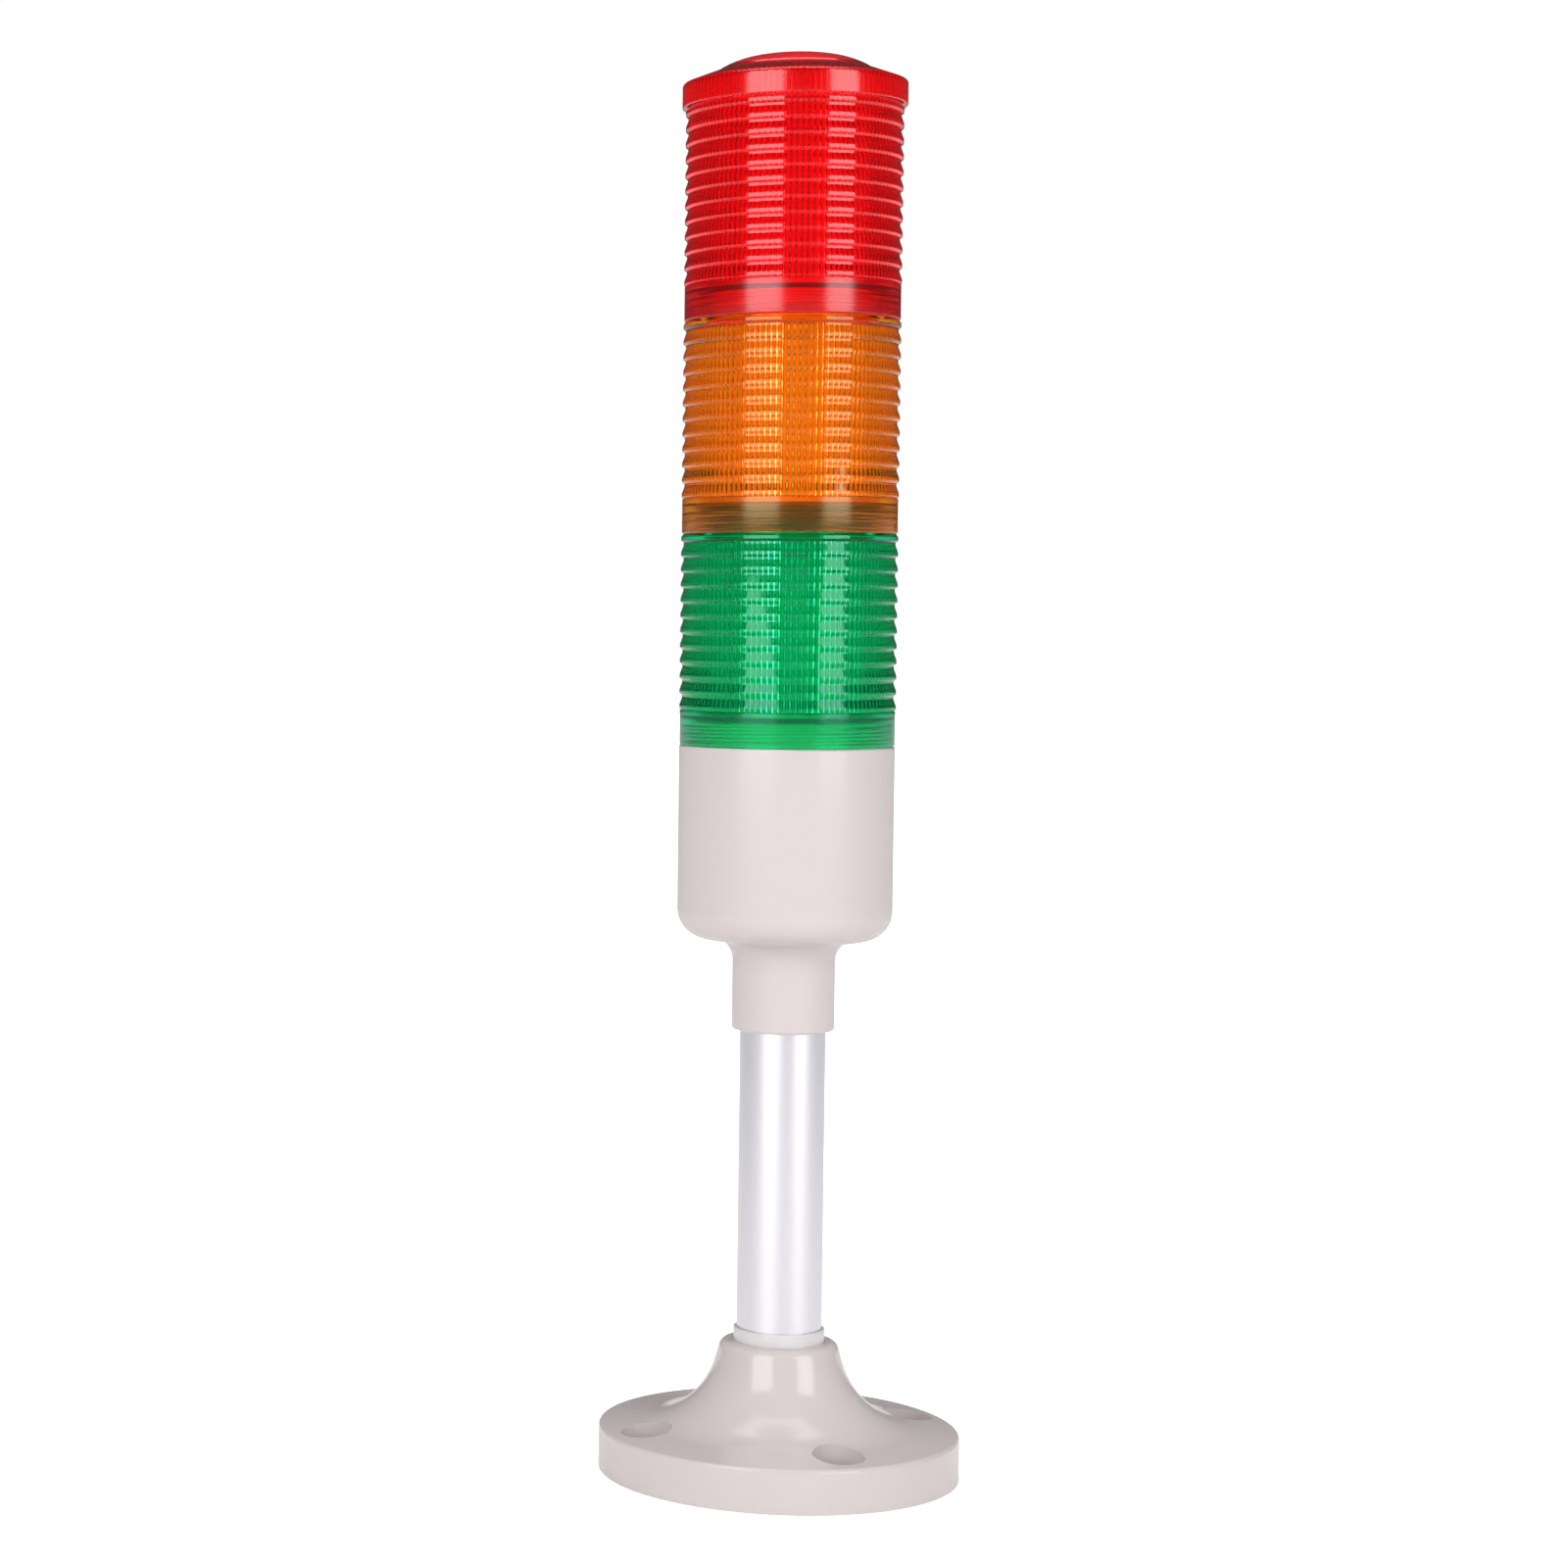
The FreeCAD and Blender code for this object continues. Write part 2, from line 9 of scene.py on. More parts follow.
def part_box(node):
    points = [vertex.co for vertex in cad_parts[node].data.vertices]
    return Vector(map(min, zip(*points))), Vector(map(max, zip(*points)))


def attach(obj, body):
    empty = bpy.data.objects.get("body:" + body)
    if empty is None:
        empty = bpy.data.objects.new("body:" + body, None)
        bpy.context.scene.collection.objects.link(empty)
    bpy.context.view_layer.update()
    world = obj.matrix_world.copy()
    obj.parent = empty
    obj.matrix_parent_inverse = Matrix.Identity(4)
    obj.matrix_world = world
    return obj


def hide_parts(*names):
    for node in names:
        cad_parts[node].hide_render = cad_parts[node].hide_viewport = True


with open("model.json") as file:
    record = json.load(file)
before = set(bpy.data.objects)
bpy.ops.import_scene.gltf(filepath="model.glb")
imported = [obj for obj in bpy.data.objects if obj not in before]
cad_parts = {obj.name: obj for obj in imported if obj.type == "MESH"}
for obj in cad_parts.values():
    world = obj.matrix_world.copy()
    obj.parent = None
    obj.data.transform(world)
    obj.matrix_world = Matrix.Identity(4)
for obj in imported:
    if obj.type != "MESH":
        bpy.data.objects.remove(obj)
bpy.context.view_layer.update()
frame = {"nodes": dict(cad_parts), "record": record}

MM = 0.001

# Lens mouldings, in millimetres. Heights count from the base of a lens's tier.
LENS_NAMES = ("green", "amber", "red")
SEAT_GAP = 0.1
TIER_PITCH = 49.7
BAND_RADIUS = 25.0
BAND_HEIGHT = 8.2
NOTCH_DEPTH = 0.3
NOTCH_WIDTH = 0.5
RIB_COUNT = 12
RIB_PITCH = 3.591
CREST_RADIUS = 25.15
TROUGH_RADIUS = 24.55
CREST_WIDTH = 0.8
LOWER_FLANK = 0.5
UPPER_FLANK = 1.7
RIB_ROUNDING = 0.14
FLUTE_COUNT = 114
FLUTE_VALLEY_RADIUS = 22.65
FLUTE_DEPTH = 0.35
FLUTE_BOTTOM = 8.0
STOP_RING_BOTTOM = 6.4
STOP_RING_RADIUS = 21.3
SKIRT_RADIUS = 22.7
COLLAR_RADIUS = 22.2
COLLAR_INNER_RADIUS = 20.0
COLLAR_HEIGHT = 6.0
SHELF_THICKNESS = 1.4
EDGE_CHAMFER = 0.4

# Closed top of the red lens: a rim, a sloping shoulder, a small step and a dome. The bend is the
# way in which the dome leaves its edge, as shares of its radius and its rise.
RIM_RADIUS = 26.0
RIM_HEIGHT = 5.5
RIM_ROUNDING = 0.8
SHOULDER_RISE = 3.1
DOME_EDGE_RADIUS = 17.3
DOME_STEP = 0.4
DOME_RISE = 3.085
DOME_FULLNESS = 3.2
DOME_BEND_SHARE = 0.93
DOME_BEND_RISE_SHARE = 0.2
CAP_WALL = 2.2
RIM_FLUTE_GAP = 0.3

# Right-handed thread between the tiers. A ridge fills most of its pitch and has a flat crest.
# The housing's own thread stands a hair off its collar, and its root lies inside the collar's wall.
THREAD_PITCH = 1.7
THREAD_HEIGHT = 0.3
THREAD_START = 0.9
THREAD_END = 5.2
THREAD_FADE = 0.5
RIDGE_HALF_SHARE = 0.34
RIDGE_STEEPNESS = 1.6
HOUSING_THREAD_LIFT = 0.01
HOUSING_THREAD_ROOT = 0.3

# How finely round forms are divided
COLUMNS = 192
FLUTE_STEPS = 8
CORNER_STEPS = 4
DOME_RINGS_OUTSIDE = 14
DOME_RINGS_INSIDE = 10
THREAD_STEPS_PER_TURN = 10
CREASE_ANGLE = 40


# Mesh tools

def finish_mesh(name, bm):
    """A new object from a bmesh, with its normals outwards and its creases kept sharp."""
    bmesh.ops.recalc_face_normals(bm, faces=bm.faces)
    mesh = bpy.data.meshes.new(name)
    bm.to_mesh(mesh)
    bm.free()
    mesh.shade_smooth()
    mesh.set_sharp_from_angle(angle=math.radians(CREASE_ANGLE))
    piece = bpy.data.objects.new(name, mesh)
    bpy.context.scene.collection.objects.link(piece)
    return piece


def circle(radius, height, count=COLUMNS, ripple=None):
    """One ring of points round the axis. ripple(angle, height) is added to the radius, in millimetres."""
    if radius == 0:
        return [(0.0, Vector((0, 0, height * MM)))]
    ring = []
    for index in range(count):
        angle = 2 * math.pi * index / count
        reach = radius + (ripple(angle, height) if ripple else 0.0)
        point = Vector((reach * math.cos(angle) * MM, reach * math.sin(angle) * MM, height * MM))
        ring.append((angle, point))
    return ring


def circles(outline):
    """A ring for each (radius, height) of an outline."""
    return [circle(radius, height) for radius, height in outline]


def join_even(bm, low, high):
    """Four-sided faces between two rings with the same count."""
    for index in range(len(low)):
        after = (index + 1) % len(low)
        bm.faces.new((low[index][1], low[after][1], high[after][1], high[index][1]))


def join_centre(bm, centre, ring):
    """Three-sided faces from a point on the axis to a ring."""
    for index in range(len(ring)):
        bm.faces.new((centre, ring[index][1], ring[(index + 1) % len(ring)][1]))


def join_uneven(bm, low, high):
    """Three-sided faces between rings of different counts, always stepping on the ring that is behind."""
    a, b = 0, 0
    while a < len(low) or b < len(high):
        here_a, here_b = low[a % len(low)][1], high[b % len(high)][1]
        behind = (a + 1) / len(low) <= (b + 1) / len(high)
        if b >= len(high) or (a < len(low) and behind):
            a += 1
            bm.faces.new((here_a, low[a % len(low)][1], here_b))
        else:
            b += 1
            bm.faces.new((here_a, high[b % len(high)][1], here_b))


def join_rings(bm, low, high):
    """Faces between two rings of (angle, vertex). Two points on the axis need none."""
    if len(low) == 1 and len(high) == 1:
        return
    if len(low) == len(high):
        join_even(bm, low, high)
    elif len(low) == 1:
        join_centre(bm, low[0][1], high)
    elif len(high) == 1:
        join_centre(bm, high[0][1], low)
    else:
        join_uneven(bm, low, high)


def lathe(name, rings):
    """A closed round form through rings of points, whose last ring joins the first."""
    bm = bmesh.new()
    rows = [[(angle, bm.verts.new(point)) for angle, point in ring] for ring in rings]
    for low, high in zip(rows, rows[1:] + rows[:1]):
        join_rings(bm, low, high)
    return finish_mesh(name, bm)


def rounded(corners):
    """An outline through (radius, height, rounding) corners, with each rounding drawn as an arc."""
    outline = []
    for index, (radius, height, rounding) in enumerate(corners):
        here = Vector((radius, height))
        if rounding == 0 or index in (0, len(corners) - 1):
            outline.append((radius, height))
            continue
        to_last = (Vector(corners[index - 1][:2]) - here).normalized()
        to_next = (Vector(corners[index + 1][:2]) - here).normalized()
        half = to_last.angle(to_next) / 2
        tangent = rounding / math.tan(half)
        centre = here + (to_last + to_next).normalized() * (rounding / math.sin(half))
        start, end = here + to_last * tangent - centre, here + to_next * tangent - centre
        sweep = start.angle_signed(end)
        for step in range(CORNER_STEPS + 1):
            turned = Matrix.Rotation(-sweep * step / CORNER_STEPS, 2) @ start
            outline.append(tuple(centre + turned))
    return outline


def thread(base, sign, shift=0.0):
    """A ripple that draws a right-handed thread: +1 stands out of a collar, -1 into a skirt's bore."""
    def ripple(angle, height):
        along = height - base
        fade = min(along - THREAD_START, THREAD_END - along) / THREAD_FADE
        if fade <= 0:
            return 0.0
        phase = (along / THREAD_PITCH - angle / (2 * math.pi) + shift) % 1.0
        ridge = max(0.0, 1.0 - abs(phase - 0.5) / RIDGE_HALF_SHARE)
        return sign * THREAD_HEIGHT * min(1.0, RIDGE_STEEPNESS * ridge) * min(1.0, fade)
    return ripple


def thread_heights(base):
    """Heights of the rings that a thread needs, from bottom to top."""
    length = THREAD_END - THREAD_START
    count = int(length / (THREAD_PITCH / THREAD_STEPS_PER_TURN))
    return [base + THREAD_START + length * index / count for index in range(count + 1)]


# Lens mouldings

def rib_outline():
    """Outline of the notch above the smooth band and of all rounds of ribs, from the bottom up."""
    corners = [(BAND_RADIUS, BAND_HEIGHT - NOTCH_WIDTH, 0), (BAND_RADIUS, BAND_HEIGHT, RIB_ROUNDING / 2),
               (BAND_RADIUS - NOTCH_DEPTH, BAND_HEIGHT + NOTCH_WIDTH / 3, RIB_ROUNDING / 2)]
    for index in range(RIB_COUNT):
        bottom = BAND_HEIGHT + NOTCH_WIDTH + index * RIB_PITCH
        top = bottom + CREST_WIDTH
        corners += [(CREST_RADIUS, bottom, RIB_ROUNDING), (CREST_RADIUS, top, RIB_ROUNDING)]
        if index < RIB_COUNT - 1:
            corners += [(TROUGH_RADIUS, top + UPPER_FLANK, RIB_ROUNDING),
                        (TROUGH_RADIUS, bottom + RIB_PITCH - LOWER_FLANK, RIB_ROUNDING)]
    return corners


def skirt_rings():
    """The skirt's inside, from the flutes' foot down to the bottom edge and out to the band."""
    groove = thread(0.0, -1, 0.5)
    rings = circles([(STOP_RING_RADIUS, FLUTE_BOTTOM), (STOP_RING_RADIUS, STOP_RING_BOTTOM),
                     (SKIRT_RADIUS, STOP_RING_BOTTOM)])
    rings += [circle(SKIRT_RADIUS, height, ripple=groove) for height in reversed(thread_heights(0.0))]
    rings += circles([(SKIRT_RADIUS, SEAT_GAP + EDGE_CHAMFER), (SKIRT_RADIUS + EDGE_CHAMFER, SEAT_GAP)])
    edge = [(SKIRT_RADIUS + EDGE_CHAMFER, SEAT_GAP, 0), (BAND_RADIUS, SEAT_GAP, EDGE_CHAMFER),
            (BAND_RADIUS, BAND_HEIGHT / 2, 0)]
    return rings + circles(rounded(edge)[1:-1])


def flute_rings(top):
    """The fluted wall of the hollow: half-round ridges that point inwards, from the top down."""
    step = 2 * math.pi / FLUTE_COUNT
    half_width = FLUTE_VALLEY_RADIUS * math.sin(step / 2)
    arc_radius = (half_width ** 2 + FLUTE_DEPTH ** 2) / (2 * FLUTE_DEPTH)

    def ripple(angle, height):
        across = ((angle / step) % 1.0 * 2 - 1) * half_width
        return arc_radius - FLUTE_DEPTH - math.sqrt(arc_radius ** 2 - across ** 2)
    count = FLUTE_COUNT * FLUTE_STEPS
    return [circle(FLUTE_VALLEY_RADIUS, height, count, ripple) for height in (top, FLUTE_BOTTOM)]


def open_lens(name):
    """A lens with the next tier's threaded collar on top."""
    shelf_bottom = TIER_PITCH - SHELF_THICKNESS
    collar_top = TIER_PITCH + COLLAR_HEIGHT
    outside = rib_outline() + [(TROUGH_RADIUS + NOTCH_DEPTH / 2, TIER_PITCH, RIB_ROUNDING),
                               (COLLAR_RADIUS, TIER_PITCH, 0)]
    ripple = thread(TIER_PITCH, 1)
    collar = [(COLLAR_RADIUS, TIER_PITCH + THREAD_END, 0), (COLLAR_RADIUS, collar_top, EDGE_CHAMFER),
              (COLLAR_INNER_RADIUS, collar_top, EDGE_CHAMFER), (COLLAR_INNER_RADIUS, shelf_bottom, 0)]
    rings = skirt_rings() + circles(rounded(outside))
    rings += [circle(COLLAR_RADIUS, height, ripple=ripple) for height in thread_heights(TIER_PITCH)]
    rings += circles(rounded(collar)[1:])
    return lathe(name, rings + flute_rings(shelf_bottom))


def dome_rings(edge_radius, apex, steps):
    """Rings of the dome from its edge to its apex, a little flatter in the middle than a ball."""
    rings = []
    for step in range(steps + 1):
        radius = edge_radius * (1 - step / steps)
        height = apex - DOME_RISE * (radius / edge_radius) ** DOME_FULLNESS
        rings.append(circle(radius, height))
    return rings


def closed_lens(name):
    """The top lens, with a wider rim and a domed top. It passes the axis twice, outside and inside."""
    rim_top = TIER_PITCH + RIM_HEIGHT
    shoulder_top = rim_top + SHOULDER_RISE
    dome_base = shoulder_top + DOME_STEP
    apex = dome_base + DOME_RISE
    outside = rib_outline() + [
        (TROUGH_RADIUS, TIER_PITCH, RIB_ROUNDING / 2), (RIM_RADIUS, TIER_PITCH, RIM_ROUNDING / 2),
        (RIM_RADIUS, rim_top, RIM_ROUNDING), (DOME_EDGE_RADIUS + DOME_STEP, shoulder_top, RIM_ROUNDING),
        (DOME_EDGE_RADIUS, dome_base, DOME_STEP / 4),
        (DOME_EDGE_RADIUS * DOME_BEND_SHARE, dome_base + DOME_RISE * DOME_BEND_RISE_SHARE, 0)]
    rings = skirt_rings() + circles(rounded(outside)[:-1])
    rings += dome_rings(DOME_EDGE_RADIUS, apex, DOME_RINGS_OUTSIDE)[1:]
    rings += reversed(dome_rings(DOME_EDGE_RADIUS - CAP_WALL, apex - CAP_WALL, DOME_RINGS_INSIDE))
    return lathe(name, rings + flute_rings(rim_top - RIM_FLUTE_GAP))


# Materials

# How fast light is lost inside the tinted mouldings, per metre, and how bright their gloss is:
# 0.5 would be plain plastic, 1 doubles its reflection
LENS_DENSITY = 45.0
LENS_GLEAM = 1.0
LENS_IOR = 1.585
BAND_ROUGHNESS = 0.19
RIB_ROUGHNESS = 0.05
TOP_ROUGHNESS = 0.8 * BAND_ROUGHNESS
# Height up to which a lens's ramps of tint and roughness reach, in millimetres from its base
RAMP_HEIGHT = 70.0

# Sockets of a mix node that mixes colours
MIX_FIRST_COLOUR = 6
MIX_SECOND_COLOUR = 7
MIX_COLOUR_RESULT = 2


def material(name, colour, roughness, metallic=0.0, ior=1.5):
    """A named material and its shader, with the values that are the same all over set on it."""
    made = bpy.data.materials.new(name)
    made.use_nodes = True
    shader = made.node_tree.nodes["Principled BSDF"]
    shader.inputs["Base Color"].default_value = (*colour, 1.0)
    shader.inputs["Roughness"].default_value = roughness
    shader.inputs["Metallic"].default_value = metallic
    shader.inputs["IOR"].default_value = ior
    return made, shader


def node(made, kind, **values):
    """A new node. Values name its inputs, with spaces as underscores."""
    added = made.node_tree.nodes.new(kind)
    for key, value in values.items():
        added.inputs[key.replace("_", " ")].default_value = value
    return added


def link(made, source, target):
    made.node_tree.links.new(source, target)


def surface(made):
    """The socket that takes a material's finished surface."""
    return made.node_tree.nodes["Material Output"].inputs["Surface"]


def noise(made, scale, detail=2.0, stretch=(1, 1, 1), roughness=0.5):
    """A noise texture in the object's own metres, stretched along an axis where asked."""
    place = node(made, "ShaderNodeTexCoord")
    mapping = node(made, "ShaderNodeMapping")
    mapping.inputs["Scale"].default_value = stretch
    texture = node(made, "ShaderNodeTexNoise", Scale=scale, Detail=detail, Roughness=roughness)
    link(made, place.outputs["Object"], mapping.inputs["Vector"])
    link(made, mapping.outputs["Vector"], texture.inputs["Vector"])
    return texture.outputs["Fac"]


def spread(made, value, low, high):
    """A 0 to 1 value spread between two others."""
    mapped = node(made, "ShaderNodeMapRange", To_Min=low, To_Max=high)
    link(made, value, mapped.inputs["Value"])
    return mapped.outputs["Result"]


def roughen(made, shader, value, low, high):
    """The roughness wanders between two levels with a value."""
    link(made, spread(made, value, low, high), shader.inputs["Roughness"])


def bump(made, shader, height, strength, distance):
    """Fine relief from a height value; distance is in metres."""
    relief = node(made, "ShaderNodeBump", Strength=strength, Distance=distance)
    link(made, height, relief.inputs["Height"])
    link(made, relief.outputs["Normal"], shader.inputs["Normal"])


def tint(made, shader, value, dark, light):
    """The colour wanders between two colours with a value."""
    mix = node(made, "ShaderNodeMix")
    mix.data_type = "RGBA"
    mix.inputs[MIX_FIRST_COLOUR].default_value = (*dark, 1.0)
    mix.inputs[MIX_SECOND_COLOUR].default_value = (*light, 1.0)
    link(made, value, mix.inputs["Factor"])
    link(made, mix.outputs[MIX_COLOUR_RESULT], shader.inputs["Base Color"])


def moulded_plastic(name, dark, light, roughness):
    """Moulded plastic: a slow drift of colour, faint flow marks and a fine skin."""
    made, shader = material(name, light, roughness)
    tint(made, shader, noise(made, 25, 3), dark, light)
    roughen(made, shader, noise(made, 350, 3), roughness * 0.85, roughness * 1.15)
    bump(made, shader, noise(made, 2500, 2), 0.06, 0.00004)
    return made


def housing_plastic():
    """The pale moulding of foot and housing, into which light goes a few millimetres deep."""
    made = moulded_plastic("housing_plastic", (0.6, 0.538, 0.534), (0.63, 0.567, 0.563), 0.16)
    shader = made.node_tree.nodes["Principled BSDF"]
    shader.inputs["Subsurface Weight"].default_value = 0.06
    shader.inputs["Subsurface Radius"].default_value = (0.004, 0.003, 0.0025)
    return made


def drawn_aluminium():
    """A drawn tube: fine lines along it and a soft cloudy sheen."""
    made, shader = material("pole_metal", (0.89, 0.87, 0.91), 0.36, metallic=1.0)
    lines = noise(made, 2600, 3, stretch=(1, 1, 0.02))
    roughen(made, shader, lines, 0.3, 0.42)
    cloud = noise(made, 900, 4, stretch=(1, 1, 0.25))
    tint(made, shader, cloud, (0.86, 0.84, 0.885), (0.91, 0.89, 0.94))
    bump(made, shader, lines, 0.1, 0.00003)
    return made


def plated_steel():
    """Zinc plate with a faint cloud."""
    made, shader = material("plated_steel", (0.62, 0.62, 0.60), 0.35, metallic=1.0)
    tint(made, shader, noise(made, 220, 4), (0.52, 0.53, 0.54), (0.72, 0.71, 0.66))
    roughen(made, shader, noise(made, 900, 3), 0.28, 0.45)
    bump(made, shader, noise(made, 1800, 2), 0.15, 0.00005)
    return made


def elastomer(name, colour, roughness):
    """Satin rubber with a fine skin."""
    made, shader = material(name, colour, roughness)
    darker = tuple(channel * 0.85 for channel in colour)
    tint(made, shader, noise(made, 300, 3), darker, colour)
    roughen(made, shader, noise(made, 1200, 2), roughness * 0.9, roughness * 1.1)
    bump(made, shader, noise(made, 3000, 2), 0.25, 0.00005)
    return made


def board_laminate():
    """White solder resist with the faint weave of the laminate below it."""
    made, shader = material("board_laminate", (0.8, 0.82, 0.78), 0.4)
    tint(made, shader, noise(made, 120, 2), (0.74, 0.77, 0.72), (0.84, 0.86, 0.82))
    place = node(made, "ShaderNodeTexCoord")
    weave = node(made, "ShaderNodeTexWave", Scale=900.0, Distortion=0.6)
    link(made, place.outputs["Object"], weave.inputs["Vector"])
    roughen(made, shader, weave.outputs["Fac"], 0.35, 0.45)
    bump(made, shader, weave.outputs["Fac"], 0.1, 0.00003)
    return made


def led_body():
    """A white package whose outward face carries yellow phosphor."""
    made, shader = material("led_body", (0.85, 0.8, 0.55), 0.3)
    tint(made, shader, noise(made, 800, 2), (0.88, 0.72, 0.3), (0.9, 0.86, 0.62))
    roughen(made, shader, noise(made, 1500, 2), 0.2, 0.35)
    return made


def height_ramp(made, scaled, band, ribs, top):
    """Colours of a lens by height: its smooth band, its ribs, and the collar or cap on top. Where the band
    is lighter than the ribs it is painted light, and where the top is darker it is painted shade.
    """
    ramp = made.node_tree.nodes.new("ShaderNodeValToRGB")
    elements = ramp.color_ramp.elements
    stops = ((BAND_HEIGHT, band), (BAND_HEIGHT + NOTCH_WIDTH, ribs),
             (TIER_PITCH, ribs), (TIER_PITCH + NOTCH_WIDTH, top))
    while len(elements) < len(stops):
        elements.new(0.5)
    for element, (height, colour) in zip(elements, stops):
        element.position = height / RAMP_HEIGHT
        element.color = (*colour, 1.0)
    link(made, scaled, ramp.inputs["Fac"])
    return ramp.outputs["Color"]


def height_share(made):
    """How high a point of a lens lies, as a share of the ramps' height."""
    place = node(made, "ShaderNodeTexCoord")
    split = node(made, "ShaderNodeSeparateXYZ")
    scaled = node(made, "ShaderNodeMapRange", From_Max=RAMP_HEIGHT * MM)
    link(made, place.outputs["Object"], split.inputs["Vector"])
    link(made, split.outputs["Z"], scaled.inputs["Value"])
    return scaled.outputs["Result"]


def let_lamps_through(made, shader, shadow):
    """Lamps shine through the moulding, so that what it holds is lit and its shadow has its colour."""
    path = node(made, "ShaderNodeLightPath")
    clear = node(made, "ShaderNodeBsdfTransparent", Color=(*shadow, 1.0))
    mix = node(made, "ShaderNodeMixShader")
    link(made, path.outputs["Is Shadow Ray"], mix.inputs[0])
    link(made, shader.outputs["BSDF"], mix.inputs[1])
    link(made, clear.outputs["BSDF"], mix.inputs[2])
    link(made, mix.outputs["Shader"], surface(made))


def tinted_lens(name, band, ribs, top, shadow, gleam, depth):
    """Clear tinted moulding: its tints by height, with painted light on a lighter band and painted shade on
    a darker top, then those of its shadow, its gloss and its depth.
    """
    made, shader = material(name, ribs, RIB_ROUGHNESS, ior=LENS_IOR)
    shader.inputs["Transmission Weight"].default_value = 1.0
    shader.inputs["Specular IOR Level"].default_value = LENS_GLEAM
    shader.inputs["Specular Tint"].default_value = (*gleam, 1.0)
    height = height_share(made)
    levels = [(level,) * 3 for level in (BAND_ROUGHNESS, RIB_ROUGHNESS, TOP_ROUGHNESS)]
    link(made, height_ramp(made, height, *levels), shader.inputs["Roughness"])
    link(made, height_ramp(made, height, band, ribs, top), shader.inputs["Base Color"])
    bump(made, shader, noise(made, 500, 2), 0.04, 0.00005)
    let_lamps_through(made, shader, shadow)
    inside = node(made, "ShaderNodeVolumeAbsorption", Color=(*depth, 1.0), Density=LENS_DENSITY)
    link(made, inside.outputs["Volume"], made.node_tree.nodes["Material Output"].inputs["Volume"])
    return made


finishes = {
    "housing_plastic": housing_plastic(),
    "pole_metal": drawn_aluminium(),
    "plated_steel": plated_steel(),
    "pale_seal": elastomer("pale_seal", (0.72, 0.7, 0.71), 0.25),
    "seal_rubber": elastomer("seal_rubber", (0.15, 0.145, 0.14), 0.6),
    "board_laminate": board_laminate(),
    "connector_plastic": moulded_plastic("connector_plastic", (0.015, 0.18, 0.07), (0.02, 0.24, 0.1), 0.45),
    "black_plastic": moulded_plastic("black_plastic", (0.015, 0.015, 0.015), (0.025, 0.025, 0.025), 0.5),
    "white_plastic": moulded_plastic("white_plastic", (0.78, 0.78, 0.76), (0.84, 0.84, 0.82), 0.5),
    "led_body": led_body(),
    # The green band is painted lighter than the ribs (painted light), and the green collar inside the amber
    # skirt is painted darker and browner (painted shade).
    "green_lens": tinted_lens(
        "green_lens", band=(0.01, 0.9, 0.42), ribs=(0.012, 0.68, 0.32), top=(0.12, 0.3, 0.05),
        shadow=(0.12, 0.6, 0.36), gleam=(0.4, 1.0, 0.85), depth=(0.05, 0.6, 0.3)),
    "amber_lens": tinted_lens(
        "amber_lens", band=(1.0, 0.41, 0.03), ribs=(1.0, 0.43, 0.035), top=(1.0, 0.43, 0.035),
        shadow=(0.95, 0.45, 0.1), gleam=(1.0, 0.98, 0.6), depth=(0.95, 0.45, 0.05)),
    "red_lens": tinted_lens(
        "red_lens", band=(0.98, 0.02, 0.03), ribs=(0.97, 0.02, 0.03), top=(0.96, 0.02, 0.03),
        shadow=(0.92, 0.12, 0.15), gleam=(1.0, 0.95, 0.98), depth=(0.9, 0.1, 0.1)),
}


def finish_with(piece, slot_name):
    """The piece gets the material of a slot."""
    piece.data.materials.clear()
    piece.data.materials.append(finishes[slot_name])


# Pieces

def dress_frame():
    """Every CAD node gets the procedural material of its own slot."""
    for part in frame["record"]["subparts"]:
        piece = frame["nodes"][part["node"]]
        for place in piece.material_slots:
            place.material = finishes[part["material_slot"]]


def add_lenses():
    """The three finer lens mouldings, each of which stands on its tier's base."""
    for name in LENS_NAMES:
        node_name = name + "_lens"
        build = closed_lens if name == LENS_NAMES[-1] else open_lens
        piece = build(name + "_lens_moulding")
        piece.location.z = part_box(node_name)[0][2] - SEAT_GAP * MM
        bpy.context.view_layer.update()
        finish_with(piece, node_name)
        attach(piece, name + "_tier")
        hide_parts(node_name)


def add_housing_thread():
    """The thread on the housing's collar, which shows through the green skirt."""
    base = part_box("green_lens")[0][2] / MM - SEAT_GAP
    ripple = thread(base, 1)
    heights = thread_heights(base)
    outside = [circle(COLLAR_RADIUS + HOUSING_THREAD_LIFT, height, ripple=ripple) for height in heights]
    inside = circles((COLLAR_RADIUS - HOUSING_THREAD_ROOT, height) for height in (heights[-1], heights[0]))
    piece = lathe("housing_thread", outside + inside)
    finish_with(piece, "housing_plastic")
    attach(piece, "base")


# Stage, lights and camera

# The photograph is a part of a wider picture: the camera looked past the tower's left side.
# Distance and height are in millimetres, angles in degrees.
CAMERA_DISTANCE = 824.05
CAMERA_HEIGHT = 204.74
CAMERA_PITCH = 2.94
CAMERA_ROLL = 0.25
CAMERA_YAW = 9.69
PHOTO_SIZE = 1600
FOCAL_PIXELS = 3515.9
PRINCIPAL_X = 202.4
SENSOR_WIDTH = 36.0

# The floor lies a hair below the foot, in millimetres
FLOOR_DROP = 0.05
# Half its width, and its own glow, which grows with the distance from the tower, in metres
FLOOR_SIZE = 6.0
GLOW_NEAR = 0.42
GLOW_NEAR_REACH = 0.1
GLOW_FULL_REACH = 0.7
GLOW_IN_MIRRORS = 0.1

# The studio round the tower: white behind it, which the camera sees whole and the lenses let through,
# and dimmer in what the surfaces mirror and in the soft light on them
STUDIO_DARKEST = 0.04
STUDIO_SOFT_LIGHT = 0.42
STUDIO_MIRROR_LOSS = -0.95
WHITE_BEGINS = 0.5
WHITE_FULL = 0.8
THROUGH_LENS_UPWARD = 0.6
THROUGH_LENS_START = 0.75
THROUGH_LENS_DARKEST = 0.7


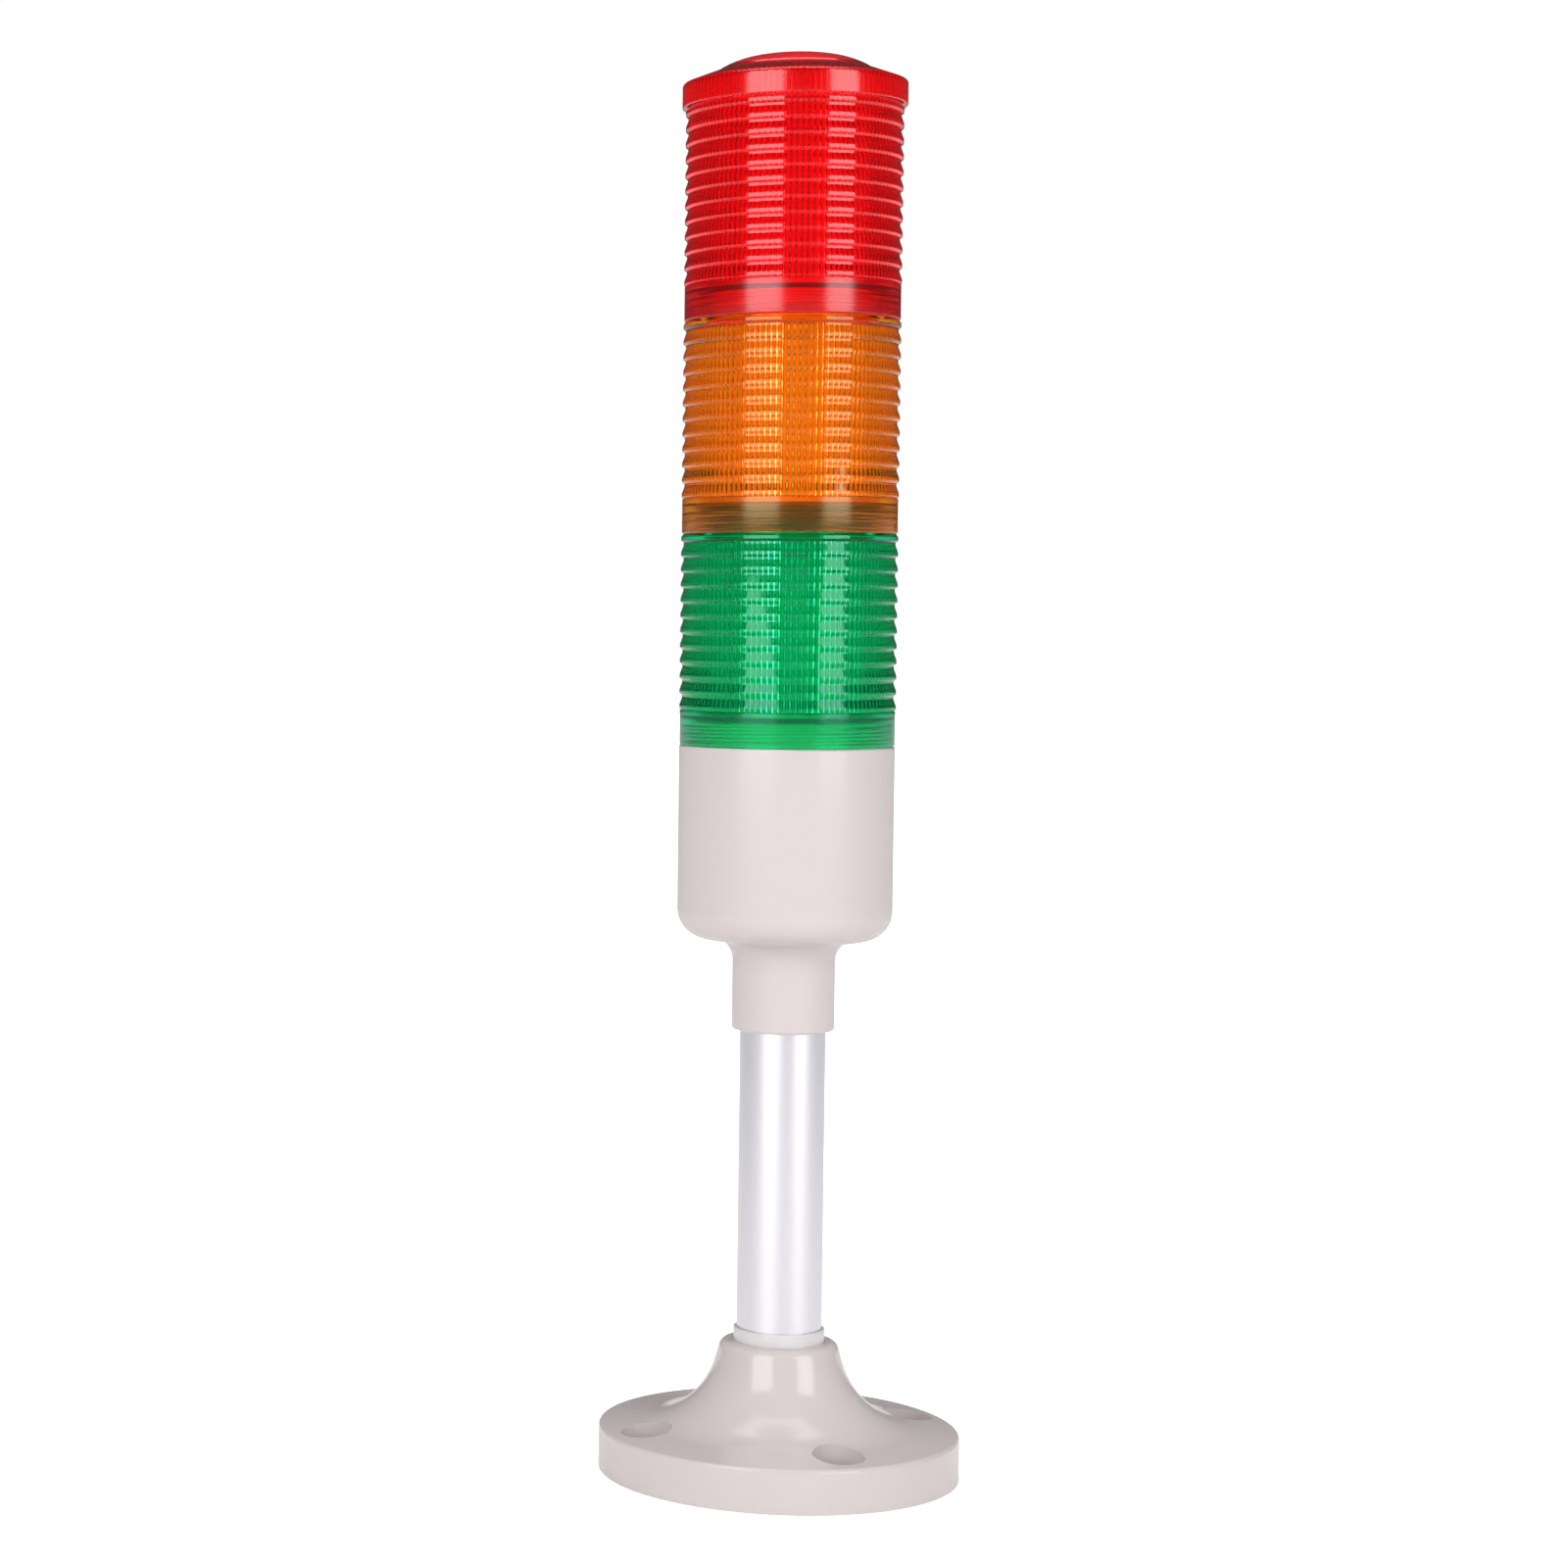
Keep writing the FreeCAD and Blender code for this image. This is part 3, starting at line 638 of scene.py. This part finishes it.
def math_node(tree, operation, first, second):
    """The result of an operation on two values, each of them a number or a socket."""
    made = tree.nodes.new("ShaderNodeMath")
    made.operation = operation
    for socket, value in zip(made.inputs, (first, second)):
        if isinstance(value, (int, float)):
            socket.default_value = value
        else:
            tree.links.new(value, socket)
    return made.outputs[0]


def floor_material():
    """White paper: it keeps the shadow, and away from the object it fades into the white behind."""
    made, shader = material("floor_paper", (0.9, 0.9, 0.9), 0.8)
    path = node(made, "ShaderNodeLightPath")
    place = node(made, "ShaderNodeTexCoord")
    away = node(made, "ShaderNodeVectorMath")
    away.operation = "LENGTH"
    link(made, place.outputs["Object"], away.inputs[0])
    fade = node(made, "ShaderNodeMapRange", From_Min=GLOW_NEAR_REACH, From_Max=GLOW_FULL_REACH,
                To_Min=GLOW_NEAR, To_Max=1.0)
    link(made, away.outputs["Value"], fade.inputs["Value"])
    glow = node(made, "ShaderNodeEmission")
    link(made, fade.outputs["Result"], glow.inputs["Strength"])
    faint = math_node(made.node_tree, "MULTIPLY", path.outputs["Is Glossy Ray"], GLOW_IN_MIRRORS)
    direct = math_node(made.node_tree, "MAXIMUM", path.outputs["Is Camera Ray"], faint)
    add = node(made, "ShaderNodeAddShader")
    link(made, shader.outputs["BSDF"], add.inputs[0])
    link(made, glow.outputs["Emission"], add.inputs[1])
    lit = node(made, "ShaderNodeMixShader")
    link(made, direct, lit.inputs[0])
    link(made, shader.outputs["BSDF"], lit.inputs[1])
    link(made, add.outputs["Shader"], lit.inputs[2])
    link(made, lit.outputs["Shader"], surface(made))
    return made


def add_stage():
    """A wide floor just below the foot."""
    bm = bmesh.new()
    bmesh.ops.create_grid(bm, x_segments=8, y_segments=8, size=FLOOR_SIZE)
    floor = finish_mesh("floor", bm)
    floor.location.z = -FLOOR_DROP * MM
    floor.data.materials.append(floor_material())


def add_world():
    """White behind the object for the camera and through glass; the studio round it is dimmer."""
    world = bpy.data.worlds.new("studio")
    bpy.context.scene.world = world
    world.use_nodes = True
    tree = world.node_tree
    background = tree.nodes["Background"]
    background.inputs["Color"].default_value = (1, 1, 1, 1)
    path = tree.nodes.new("ShaderNodeLightPath").outputs
    place = tree.nodes.new("ShaderNodeTexCoord")
    way = tree.nodes.new("ShaderNodeSeparateXYZ")
    tree.links.new(place.outputs["Generated"], way.inputs["Vector"])
    behind = tree.nodes.new("ShaderNodeMapRange")
    for socket, value in (("From Min", WHITE_BEGINS), ("From Max", WHITE_FULL),
                          ("To Min", STUDIO_DARKEST), ("To Max", 1.0)):
        behind.inputs[socket].default_value = value
    tree.links.new(way.outputs["Y"], behind.inputs["Value"])

    soft = math_node(tree, "MULTIPLY", path["Is Diffuse Ray"], STUDIO_SOFT_LIGHT)
    mirrored = math_node(tree, "MULTIPLY", path["Is Glossy Ray"], STUDIO_MIRROR_LOSS)
    lighting = math_node(tree, "ADD", behind.outputs["Result"], mirrored)
    lighting = math_node(tree, "MAXIMUM", lighting, soft)
    lighting = math_node(tree, "MAXIMUM", lighting, STUDIO_DARKEST)
    upward = math_node(tree, "MULTIPLY", way.outputs["Z"], THROUGH_LENS_UPWARD)
    through = math_node(tree, "ADD", way.outputs["Y"], upward)
    through = math_node(tree, "ADD", through, THROUGH_LENS_START)
    through = math_node(tree, "MINIMUM", through, 1.0)
    through = math_node(tree, "MAXIMUM", through, THROUGH_LENS_DARKEST)
    through = math_node(tree, "MULTIPLY", through, path["Is Transmission Ray"])
    lighting = math_node(tree, "MAXIMUM", lighting, through)
    strength = math_node(tree, "MAXIMUM", path["Is Camera Ray"], lighting)
    tree.links.new(strength, background.inputs["Strength"])


def add_lamp(name, power, width, height):
    """A soft lamp with a flat face, which the camera doesn't see."""
    lamp = bpy.data.lights.new(name, "AREA")
    lamp.shape = "RECTANGLE"
    lamp.size = width
    lamp.size_y = height
    lamp.energy = power
    box = bpy.data.objects.new(name, lamp)
    bpy.context.scene.collection.objects.link(box)
    box.visible_camera = False
    return box


def add_softbox(name, azimuth, width, low, high, distance, power):
    """A tall softbox. Azimuth 0 is the camera's side and 90 the right side."""
    box = add_lamp(name, power, width, high - low)
    angle = math.radians(azimuth)
    box.location = (distance * math.sin(angle), -distance * math.cos(angle), (low + high) / 2)
    box.rotation_euler = (math.radians(90), 0, angle)


def add_overhead(name, width, height, power):
    """A wide weak softbox above, which lights the upper faces and draws their edges."""
    box = add_lamp(name, power, width, width)
    box.location = (0.0, width / 4, height)


def add_camera():
    """The photograph's camera, with its picture shifted off the middle of its view."""
    camera = bpy.data.cameras.new("camera")
    camera.sensor_width = SENSOR_WIDTH
    camera.lens = FOCAL_PIXELS * SENSOR_WIDTH / PHOTO_SIZE
    camera.shift_x = 0.5 - PRINCIPAL_X / PHOTO_SIZE
    camera.clip_start = 0.01
    camera.clip_end = 50.0
    holder = bpy.data.objects.new("camera", camera)
    bpy.context.scene.collection.objects.link(holder)
    yaw = Matrix.Rotation(math.radians(CAMERA_YAW), 4, "Z")
    pitch = Matrix.Rotation(math.radians(90 - CAMERA_PITCH), 4, "X")
    roll = Matrix.Rotation(math.radians(CAMERA_ROLL), 4, "Z")
    place = Matrix.Translation(Vector((0, -CAMERA_DISTANCE, CAMERA_HEIGHT)) * MM)
    holder.matrix_world = place @ yaw @ pitch @ roll
    bpy.context.scene.camera = holder


dress_frame()
add_lenses()
add_housing_thread()
add_stage()
add_world()
add_softbox("softbox_left", azimuth=-30.0, width=0.69, low=0.14, high=0.9, distance=1.0, power=6.6)
add_softbox("softbox_right", azimuth=51.0, width=0.54, low=0.14, high=0.9, distance=1.0, power=5.3)
add_overhead("softbox_overhead", width=0.8, height=1.25, power=4.6)
add_camera()
bpy.context.scene.view_settings.view_transform = "Standard"
